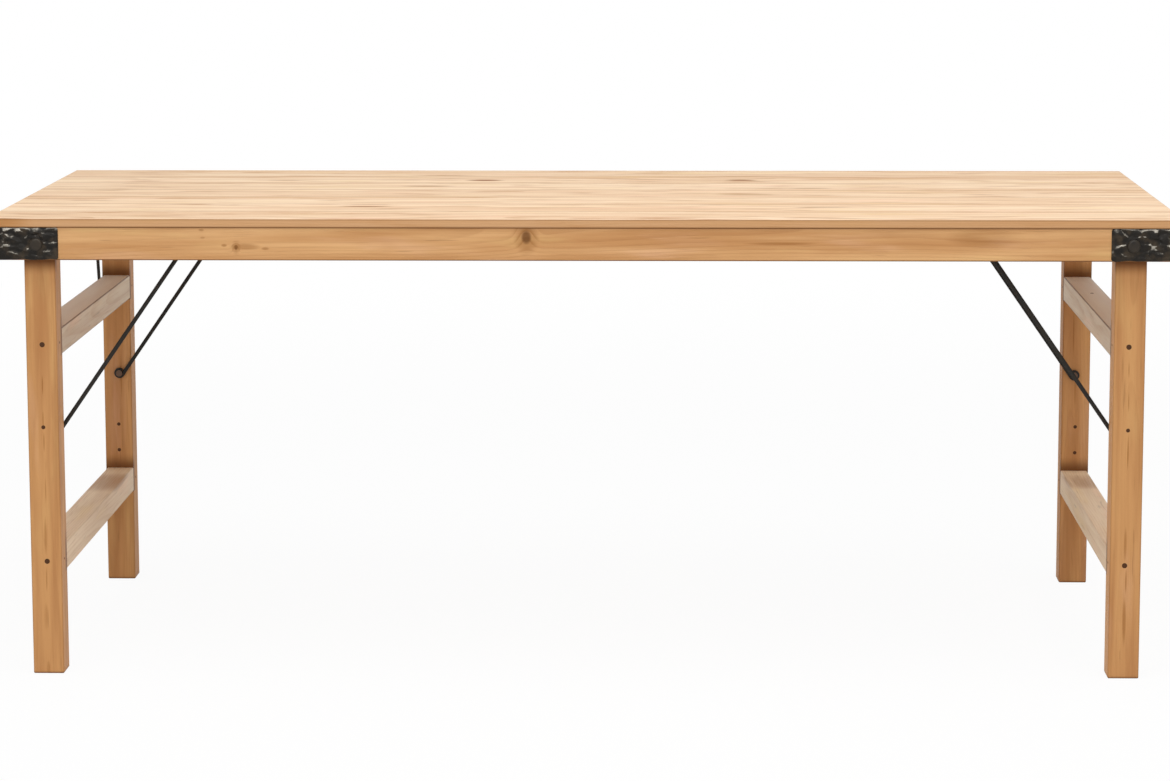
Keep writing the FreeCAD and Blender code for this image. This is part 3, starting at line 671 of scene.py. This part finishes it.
def pine(node, kind, axes, seed, width=None):
    """Pine as a solid texture, so that faces, edges and ends are cuts through the same rings.

    Bands, fibres and resin flecks are noise drawn out along the grain, with a random shift for each board.
    """
    wood = bpy.context.scene.table_pine
    chance = np.random.default_rng(seed)
    finish = Finish(bpy.data.materials.new("pine_" + node))
    board = Board(finish, node, kind, axes, width)
    shift = [float(value) for value in chance.uniform(-FIGURE_REACH, FIGURE_REACH, len(axes))]
    spot = finish.node("ShaderNodeCombineXYZ", inputs={0: board.along + shift[0], 1: board.across + shift[1],
                                                       2: board.through + shift[2]})
    noises = {name: finish.noise(spot, *values) for name, values in WOOD_NOISES.items()}
    fibre, pore = noises["fibre"], noises["pore"]
    fleck = finish.step(noises["fleck"], *WOOD_STEPS["fleck"])
    wander = noises["wander"] - MIDDLE_SHARE
    swelling, knot_core, knot_shade, streak = knots_and_streaks(finish, board, noises["band"], wander)
    late = late_part(finish, board, swelling, chance)

    tint = float(chance.uniform(-TINT_SHARE, TINT_SHARE))
    resin, stain = opaque(wood.resin), opaque(wood.stain)
    shade = clean_wood(finish, board, noises, late, tint)
    shade = finish.mix(fleck * FLECK_SHARE, shade, resin)
    if node in KNOTS:
        shade = finish.mix(knot_shade * (late * KNOT_SHADE_SHARES[0] + KNOT_SHADE_SHARES[1]), shade, stain)
        shade = finish.mix(knot_core * (fibre * KNOT_CORE_SHARES[0] + KNOT_CORE_SHARES[1]), shade, resin)
    if node in STREAKS:
        shade = finish.mix(streak, shade, stain)
    shade = worn_and_shaded_wood(finish, board, shade)

    height = (fibre * GRAIN_SHARES["fibre"] + pore * GRAIN_SHARES["pore"] + late * GRAIN_SHARES["late"]
              - fleck * GRAIN_SHARES["fleck"])
    roughness = (fibre * ROUGHNESS_SHARES["fibre"] + late * ROUGHNESS_SHARES["late"]
                 + (wood.roughness - ROUGHNESS_SHARES["middle"]))
    return finish.surface(Base_Color=shade, Roughness=roughness, Specular_IOR_Level=GLOSS_SHARES[kind],
                          Normal=finish.bump(height, wood.grain_depth))


def painted_iron(name):
    """Matte paint on iron: a bloom in patches, rubbed grey in small spots, with a slightly uneven skin."""
    iron = bpy.context.scene.table_iron
    paint, bloom_colour, bloom_share, polish_share = PAINTS[name]
    finish = Finish(bpy.data.materials.new(name))
    spot = finish.object_place()
    bloom, peel, rub = (finish.noise(spot, *PAINT_NOISES[kind]) for kind in ("bloom", "peel", "rub"))
    rub = finish.step(rub, *PAINT_STEPS["rub"])
    start, full = PAINT_STEPS["bloom"]
    patches = finish.step(bloom, start - bloom_share, full) * bloom_share
    shade = finish.mix(patches, opaque(getattr(iron, paint)), opaque(getattr(iron, bloom_colour)))
    shade = finish.mix(rub * PAINT_RUB_SHARES["colour"], shade, opaque(iron.bare))
    roughness = (bloom * PAINT_ROUGH_SHARES["bloom"] + peel * PAINT_ROUGH_SHARES["peel"]
                 + (PAINT_ROUGH_SHARES["middle"] - polish_share))
    skin = peel * PAINT_BUMP_SHARES["peel"] + bloom * PAINT_BUMP_SHARES["bloom"]
    return finish.surface(Base_Color=shade, Metallic=rub * PAINT_RUB_SHARES["metal"], Roughness=roughness,
                          Specular_IOR_Level=PAINT_GLOSS_SHARE, Normal=finish.bump(skin, PAINT_BUMP))


def hammered_iron():
    """Hammered black paint: a brown bloom, and bare iron rubbed on creases and painted as glints on facets
    facing up.
    """
    iron = bpy.context.scene.table_iron
    finish = Finish(bpy.data.materials.new("hammered_iron"))
    spot = finish.object_place()
    wear = finish.node("ShaderNodeAttribute", {"attribute_name": "wear"}, outputs=("Fac",))
    crinkle, bloom = (finish.noise(spot, *BEATEN_NOISES[kind]) for kind in ("crinkle", "bloom"))
    # Bare iron where the attribute is high: rubbed creases, and painted glints on facets facing up.
    rub = finish.step(wear + (crinkle - MIDDLE_SHARE) * BEATEN_CRINKLE_SHARE, *BEATEN_STEPS["rub"])
    rub = rub * finish.step(bloom, *BEATEN_STEPS["bare"])
    patches = finish.step(bloom, *BEATEN_STEPS["bloom"]) * BEATEN_RUST_SHARE
    shade = finish.mix(patches, opaque(iron.paint), opaque(iron.rust))
    shade = finish.mix(rub, shade, opaque(iron.bare))
    roughness = (BEATEN_ROUGH_SHARES["middle"] + bloom * BEATEN_ROUGH_SHARES["bloom"]
                 + crinkle * BEATEN_ROUGH_SHARES["crinkle"])
    return finish.surface(Base_Color=shade, Metallic=rub, Roughness=roughness,
                          Specular_IOR_Level=BEATEN_GLOSS_SHARE, Normal=finish.bump(crinkle, BEATEN_BUMP))


def new_piece(name, points, faces, material, body):
    """An object at the origin from arrays of points and faces, riding on a body."""
    mesh = bpy.data.meshes.new(name)
    mesh.from_pydata(points, [], faces)
    mesh.validate()
    mesh.shade_smooth()
    mesh.set_sharp_from_angle(angle=SHARP_ANGLE)
    mesh.materials.append(material)
    piece = bpy.data.objects.new(name, mesh)
    bpy.context.scene.collection.objects.link(piece)
    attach(piece, body)
    return piece


def spread(length, rim, count):
    """Places from nought to a length: evenly inside, and closer within a rim at both ends."""
    near = rim * np.array(RIM_SHARES)
    inside = np.linspace(rim, length - rim, count)
    return np.concatenate([near, inside, length - near[::-1]])


def beaten_relief(run, level, length, height, chance, iron):
    """Rise of a beaten plate, and its creases from nought to one.

    Facets lie about scattered middles, each with its own height and slope. A point's rise is the mean of the
    facets' planes there, weighted by a bell curve of the distance to each middle, which counts for less along
    the plate. A crease stands where the two nearest middles are equally far, as a narrow bell curve of the
    difference, on part of the plate only.
    """
    spacing = iron.facet_spacing
    count = int(length * height / spacing ** 2 / FACET_STRETCH)
    middles = chance.uniform((0, 0), (length, height), (count, 2))
    rises = chance.uniform(-iron.relief, iron.relief, count)
    slopes = chance.uniform(-iron.facet_slope, iron.facet_slope, (count, 2))
    aside = (run[..., None] - middles[:, 0]) / FACET_STRETCH
    above = level[..., None] - middles[:, 1]
    gaps = np.hypot(aside, above)
    weights = np.exp(-(gaps / (FACET_BELL * spacing)) ** 2) + LEAST_WEIGHT
    planes = rises + slopes[:, 0] * aside + slopes[:, 1] * above
    facets = (weights * planes).sum(-1) / weights.sum(-1)
    nearest = np.partition(gaps, 1, axis=-1)
    waves = [np.sin(place * turns + chance.uniform(0, CREASE_PHASE))
             for place, turns in zip((run, level), CREASE_TURNS)]
    kept = np.clip(waves[0] * waves[1] + CREASE_SHARE, 0, 1)
    crease = np.exp(-((nearest[..., 1] - nearest[..., 0]) / iron.crease_width) ** 2) * kept
    limit = RELIEF_LIMIT * iron.relief
    return np.clip(facets, -limit, limit) + iron.crease_height * crease, crease


def plate_grid(length, height, chance, iron):
    """Places along and up a flat plate, and how far its lower and upper edges come in at each place along it.

    An edge comes in by the mean of a few cosine waves, and at its two ends by a quarter circle.
    """
    run, level = np.meshgrid(spread(length, iron.rim_width, RUN_POINTS),
                             spread(height, iron.rim_width, LEVEL_POINTS), indexing="ij")
    steps = run[:, 0]
    waves = 2 * np.pi / chance.uniform(*RIM_WAVES, (2, WAVE_COUNT, 1))
    rims = np.cos(waves * steps + chance.uniform(0, 2 * np.pi, waves.shape)).mean(1)
    tip = np.clip(np.minimum(steps, length - steps) / PLATE_RADIUS, 0, 1)
    inset = PLATE_RADIUS * (1 - np.sqrt(1 - (1 - tip) ** 2)) + iron.rim_wear * (rims + 1) / 2
    level = inset[0][:, None] + level / height * (height - inset[0] - inset[1])[:, None]
    return run, level, inset


def bent_path(steps, first, bend):
    """An L-shaped path and its normals: along one arm, round a quarter circle and along the other arm."""
    turn = np.clip((steps - first) / bend, 0, np.pi / 2)
    arc = bend * np.pi / 2
    path = np.stack([bend * np.sin(turn) - bend + np.minimum(steps - first, 0),
                     bend * np.cos(turn) - bend - np.maximum(steps - first - arc, 0)], -1)
    return path, np.stack([np.sin(turn), np.cos(turn)], -1)


def corner_iron(end, side_name, material):
    """A beaten plate bent round a corner: a profile carried along an L-shaped path.

    At each place on the path the profile goes up the outer face, which the relief and a rim falling back as a
    quarter ellipse push out or in along the path's normal, and down the flat inner face. The relief fades out
    at the seats of the bolt and the screws.
    """
    iron = bpy.context.scene.table_iron
    node = "corner_bracket_%s_%s" % (side_name, end)
    sign, side = ENDS[end], SIDES[side_name]
    low, high = (np.array(corner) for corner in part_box(node))
    outer = np.maximum(abs(low), abs(high))
    arms = high - low
    bend = iron.corner_radius
    first, arc, last = arms[0] - bend, bend * np.pi / 2, arms[1] - bend
    length, height = first + arc + last, arms[2]
    chance = np.random.default_rng(SEEDS["iron"] + END_STEP * sign + side)

    run, level, inset = plate_grid(length, height, chance, iron)
    rise, crease = beaten_relief(run, level, length, height, chance, iron)
    bolt = sum(np.array(corner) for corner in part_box("pivot_bolt_%s_%s" % (side_name, end))) / 2
    seats = [(abs(bolt[0]) - outer[0] + arms[0], bolt[2] - low[2], BOLT_SEAT),
             (length - SCREW_INSET, SCREW_INSET, SCREW_SEAT),
             (length - SCREW_INSET, height - SCREW_INSET, SCREW_SEAT)]
    free = np.ones_like(run)
    for seat_run, seat_level, radius in seats:
        free = free * np.clip((np.hypot(run - seat_run, level - seat_level) - radius) / SEAT_EASE, 0, 1)
    border = np.minimum(np.minimum(level - inset[0][:, None], height - inset[1][:, None] - level),
                        np.minimum(run, length - run))
    near = np.clip(border / iron.rim_width, 0, 1)
    fall = iron.rim_drop * (1 - np.sqrt(1 - (1 - near) ** 2))
    offset = free * rise * near - fall

    path, normal = bent_path(run[:, 0], first, bend)
    outside = path[:, None] + normal[:, None] * offset[..., None]
    inside = np.repeat((path - normal * iron.thickness)[:, None], 2, 1)
    plan = np.concatenate([outside, inside], 1)
    heights = np.concatenate([level, level[:, -1:], level[:, :1]], 1)
    points = np.concatenate([(plan + outer[:2]) * (sign, side), heights[..., None] + low[2]], -1)

    rows, columns = heights.shape
    index = np.arange(rows * columns).reshape(rows, columns)
    after = np.roll(index, -1, 1)
    quads = np.stack([index[:-1], after[:-1], after[1:], index[1:]], -1).reshape(-1, 4)
    faces = quads.tolist() + [index[0][::-1].tolist(), index[-1].tolist()]
    if sign * side < 0:
        faces = [face[::-1] for face in faces]
    piece = new_piece("iron_" + node, points.reshape(-1, 3), faces, material, "table")
    # Facets facing up, more towards the top of the plate, show bare iron as a painted glint; creases show it
    # as rubbing.
    rise_up = -np.gradient(offset, axis=1) / np.gradient(level, axis=1)
    upward_glint = np.clip((rise_up - GLINT_SLOPE) / GLINT_SLOPE, 0, 1)
    worn = np.maximum(CREASE_WEAR_SHARE * free * crease, upward_glint) * (FOOT_WEAR_AND_GLINT_SHARE + level / height)
    held = piece.data.attributes.new("wear", "FLOAT", "POINT")
    held.data.foreach_set("value", np.concatenate([worn, np.zeros((rows, 2))], 1).ravel().astype(np.float32))
    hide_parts(node)


def nail_heads(middles, normals, diameters, nails):
    """Low domed heads: each is a profile of radius and rise turned about its own normal.

    The profile goes from the pole out along a quarter ellipse to the rim, straight into the wood and back
    to the axis, so that each head is closed.
    """
    middles, normals = np.array(middles, float), np.array(normals, float)
    turn = np.linspace(0, np.pi / 2, DOME_RINGS)[1:]
    radii = np.concatenate([np.sin(turn), [1.0]])
    rises = np.concatenate([nails.dome_height * np.cos(turn), [-nails.shank_depth]])
    angle = np.linspace(0, 2 * np.pi, HEAD_SIDES, endpoint=False)
    guide = np.where(abs(normals[:, 2:]) > 0, (1.0, 0, 0), (0, 0, 1.0))
    first = np.cross(guide, normals)
    second = np.cross(normals, first)
    spokes = first[:, None] * np.cos(angle)[:, None] + second[:, None] * np.sin(angle)[:, None]
    reach = np.array(diameters)[:, None, None, None] / 2 * radii[:, None, None]
    rings = middles[:, None, None] + spokes[:, None] * reach + normals[:, None, None] * rises[:, None, None]
    poles = middles[:, None] + normals[:, None] * np.array([[nails.dome_height], [-nails.shank_depth]])
    count, levels = rings.shape[:2]
    points = np.concatenate([rings.reshape(count, -1, 3), poles], 1)
    ring = np.arange(levels * HEAD_SIDES).reshape(levels, HEAD_SIDES)
    after = np.roll(ring, -1, 1)
    quads = np.stack([ring[:-1], ring[1:], after[1:], after[:-1]], -1).reshape(-1, 4)
    top, bottom = levels * HEAD_SIDES, levels * HEAD_SIDES + 1
    fans = np.concatenate([np.stack([np.full(HEAD_SIDES, top), ring[0], after[0]], -1),
                           np.stack([np.full(HEAD_SIDES, bottom), after[-1], ring[-1]], -1)])
    starts = (np.arange(count) * points.shape[1])[:, None, None]
    faces = (quads + starts).reshape(-1, 4).tolist() + (fans + starts).reshape(-1, 3).tolist()
    return points.reshape(-1, 3), faces


class TABLE_OT_top(bpy.types.Operator):
    """Finish the planks of the top"""

    bl_idname = "table.top"
    bl_label = "Top Planks"

    def execute(self, context):
        planks = sorted(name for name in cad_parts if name.startswith("top_plank"))
        width = (CAD_TOP[1] - CAD_TOP[0]) / len(planks)
        for seed, node in enumerate(planks):
            dress(node, pine(node, "top", PLANK_AXES, SEEDS["top"] + seed, width))
        return {"FINISHED"}


class TABLE_OT_aprons(bpy.types.Operator):
    """Finish the aprons, the cross rail and the cleats"""

    bl_idname = "table.aprons"
    bl_label = "Aprons"

    def execute(self, context):
        boards = {"front_apron": APRON_AXES, "back_apron": APRON_AXES, "centre_cross_rail": CROSS_AXES}
        for end in ENDS:
            boards[end + "_end_apron"] = END_APRON_AXES
            boards["brace_cleat_" + end] = CROSS_AXES
        for seed, (node, axes) in enumerate(boards.items()):
            dress(node, pine(node, "frame", axes, SEEDS["frame"] + seed))
        return {"FINISHED"}


class TABLE_OT_legs(bpy.types.Operator):
    """Finish the legs and the rails between them"""

    bl_idname = "table.legs"
    bl_label = "Legs and Rails"

    def execute(self, context):
        for end, sign in ENDS.items():
            for side_name, side in SIDES.items():
                node = "leg_%s_%s" % (side_name, end)
                dress(node, pine(node, "leg", LEG_AXES, SEEDS["leg"] + END_STEP * sign + side))
            for number, (level, kind) in enumerate(LEVELS.items()):
                node = "%s_rail_%s" % (level, end)
                dress(node, pine(node, kind, RAIL_AXES, SEEDS["rail"] + END_STEP * sign + number))
        return {"FINISHED"}


class TABLE_OT_corner_irons(bpy.types.Operator):
    """Bend a hammered plate round each corner of the aprons"""

    bl_idname = "table.corner_irons"
    bl_label = "Corner Irons"

    def execute(self, context):
        material = hammered_iron()
        bolts = painted_iron("black_bolt")
        for end in ENDS:
            for side_name in SIDES:
                corner_iron(end, side_name, material)
                dress("pivot_bolt_%s_%s" % (side_name, end), bolts)
        return {"FINISHED"}


class TABLE_OT_rods(bpy.types.Operator):
    """Finish the braces, hooks, screws and nuts"""

    bl_idname = "table.rods"
    bl_label = "Rods and Screws"

    def execute(self, context):
        rods = painted_iron("black_rod")
        screws = painted_iron("black_screw")
        brown = painted_iron("brown_screw")
        worn = painted_iron("worn_screw")
        for end in ENDS:
            for node in ("brace_" + end, "lock_hook_" + end):
                dress(node, rods)
            dress("hook_stud_" + end, screws)
            dress("ring_screws_" + end, worn)
            dress("rail_screws_" + end, brown)
        for node in ("bracket_screws", "pivot_washers", "pivot_nuts", "hook_screws"):
            dress(node, screws)
        return {"FINISHED"}


class TABLE_OT_nails(bpy.types.Operator):
    """Drive nails and pins into the legs and a rail"""

    bl_idname = "table.nails"
    bl_label = "Nails and Pins"

    def execute(self, context):
        nails = context.scene.table_nails
        material = painted_iron("brown_nail")
        for end, sign in ENDS.items():
            middles, normals, diameters = [], [], []
            for side_name, side in SIDES.items():
                low, high = (np.array(corner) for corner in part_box("leg_%s_%s" % (side_name, end)))
                middle = (low + high) / 2
                outer, inner = (high[1], low[1]) if side > 0 else (low[1], high[1])
                near_x = low[0] if sign > 0 else high[0]
                middles.append((middle[0], outer, nails.face_height))
                normals.append((0, side, 0))
                diameters.append(nails.nail_diameter)
                for height in nails.inner_heights:
                    middles.append((middle[0], inner, height))
                    normals.append((0, -side, 0))
                    diameters.append(nails.nail_diameter)
                for level in LEVELS:
                    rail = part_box("%s_rail_%s" % (level, end))
                    middles.append((near_x, middle[1], (rail[0][2] + rail[1][2]) / 2))
                    normals.append((-sign, 0, 0))
                    diameters.append(nails.pin_diameter)
            if end == "right":
                low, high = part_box("upper_rail_right")
                middles.append(((low[0] + high[0]) / 2, nails.rail_nail, high[2]))
                normals.append((0, 0, 1))
                diameters.append(nails.nail_diameter)
            points, faces = nail_heads(middles, normals, diameters, nails)
            new_piece("nails_" + end, points, faces, material, "leg_frame_" + end)
        return {"FINISHED"}


def add_floor(stage):
    """A pale floor, nearly white to rays that show the background, and wholly white to them far out."""
    reach = stage.floor_reach
    mesh = bpy.data.meshes.new("floor")
    mesh.from_pydata([(-reach, -reach, 0), (reach, -reach, 0), (reach, reach, 0), (-reach, reach, 0)], [],
                     [(0, 1, 2, 3)])
    floor = bpy.data.objects.new("floor", mesh)
    bpy.context.scene.collection.objects.link(floor)
    finish = Finish(bpy.data.materials.new("pale_floor"))
    x, y = finish.node("ShaderNodeSeparateXYZ", inputs={0: finish.object_place()}, outputs=(0, 1))
    distance = (x ** 2 + y ** 2) ** 0.5
    far = finish.step(distance, *(share * reach for share in FLOOR_FADE_SHARES))
    white = far * (1 - stage.floor_white_share) + stage.floor_white_share
    plain = finish.node("ShaderNodeBsdfDiffuse", inputs={"Color": opaque(stage.floor_colour)})
    glow = finish.node("ShaderNodeEmission", inputs={"Color": WHITE, "Strength": FULL})
    seen = finish.shows_background()
    mixed = finish.node("ShaderNodeMixShader", inputs={0: seen * white, 1: plain, 2: glow})
    finish.node("ShaderNodeOutputMaterial", inputs={"Surface": mixed}, outputs=())
    mesh.materials.append(finish.owner)


def add_sky(stage):
    """A sky that lights the table softly, and is white to rays that show the background."""
    world = bpy.data.worlds.new("studio")
    bpy.context.scene.world = world
    sky = Finish(world)
    strength = sky.shows_background() * (1 - stage.sky_strength) + stage.sky_strength
    glow = sky.node("ShaderNodeBackground", inputs={"Color": WHITE, "Strength": strength})
    sky.node("ShaderNodeOutputWorld", inputs={"Surface": glow}, outputs=())


def add_lamp(name, power, size, place, target):
    """A soft rectangular lamp at a place, facing a target."""
    light = bpy.data.lights.new(name, "AREA")
    light.shape = "RECTANGLE"
    light.size, light.size_y = size
    light.energy = power
    lamp = bpy.data.objects.new(name, light)
    lamp.location = place
    x, y, z = np.array(target) - np.array(place)
    lamp.rotation_euler = (math.atan2(math.hypot(x, y), -z), 0, math.atan2(y, x) - math.pi / 2)
    bpy.context.scene.collection.objects.link(lamp)


def add_camera(stage):
    """The camera at the photograph's viewing angle."""
    lens = bpy.data.cameras.new("camera")
    lens.lens = stage.lens
    lens.sensor_fit = "HORIZONTAL"
    lens.shift_y = stage.shift
    lens.clip_end = VIEW_REACH
    camera = bpy.data.objects.new("camera", lens)
    camera.location = stage.camera_place
    camera.rotation_euler = (math.pi / 2 - stage.camera_pitch, stage.camera_roll, stage.camera_turn)
    bpy.context.scene.collection.objects.link(camera)
    bpy.context.scene.camera = camera


class TABLE_OT_stage(bpy.types.Operator):
    """Set the floor, the lamps and the camera"""

    bl_idname = "table.stage"
    bl_label = "Stage"

    def execute(self, context):
        stage = context.scene.table_stage
        context.scene.view_settings.view_transform = "Standard"
        add_floor(stage)
        add_sky(stage)
        add_lamp("key_lamp", stage.key_power, *KEY_LAMP)
        add_lamp("fill_lamp", stage.fill_power, *FILL_LAMP)
        add_camera(stage)
        return {"FINISHED"}


class TABLE_PT_panel(bpy.types.Panel):
    """The table's operators and their sizes"""

    bl_idname = "TABLE_PT_panel"
    bl_label = "Folding Table"
    bl_space_type = "VIEW_3D"
    bl_region_type = "UI"
    bl_category = "Table"

    def draw(self, context):
        for operator in OPERATORS:
            self.layout.operator(operator.bl_idname)
        for name, (group, _) in GROUPS.items():
            box = self.layout.box()
            held = getattr(context.scene, name)
            for prop in group.__annotations__:
                box.prop(held, prop)


GROUPS = {
    "table_pine": (PineProperties, "Pine"),
    "table_iron": (IronProperties, "Iron"),
    "table_nails": (NailProperties, "Nails"),
    "table_stage": (StageProperties, "Stage"),
}
OPERATORS = (TABLE_OT_top, TABLE_OT_aprons, TABLE_OT_legs, TABLE_OT_corner_irons, TABLE_OT_rods,
             TABLE_OT_nails, TABLE_OT_stage)


def register():
    for name, (group, label) in GROUPS.items():
        bpy.utils.register_class(group)
        setattr(bpy.types.Scene, name, bpy.props.PointerProperty(type=group, name=label))
    for kind in OPERATORS + (TABLE_PT_panel,):
        bpy.utils.register_class(kind)


def unregister():
    for kind in reversed(OPERATORS + (TABLE_PT_panel,)):
        bpy.utils.unregister_class(kind)
    for name, (group, _) in GROUPS.items():
        delattr(bpy.types.Scene, name)
        bpy.utils.unregister_class(group)


def main():
    """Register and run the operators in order."""
    register()
    bpy.ops.table.top()
    bpy.ops.table.aprons()
    bpy.ops.table.legs()
    bpy.ops.table.corner_irons()
    bpy.ops.table.rods()
    bpy.ops.table.nails()
    bpy.ops.table.stage()


if __name__ == "__main__":
    main()
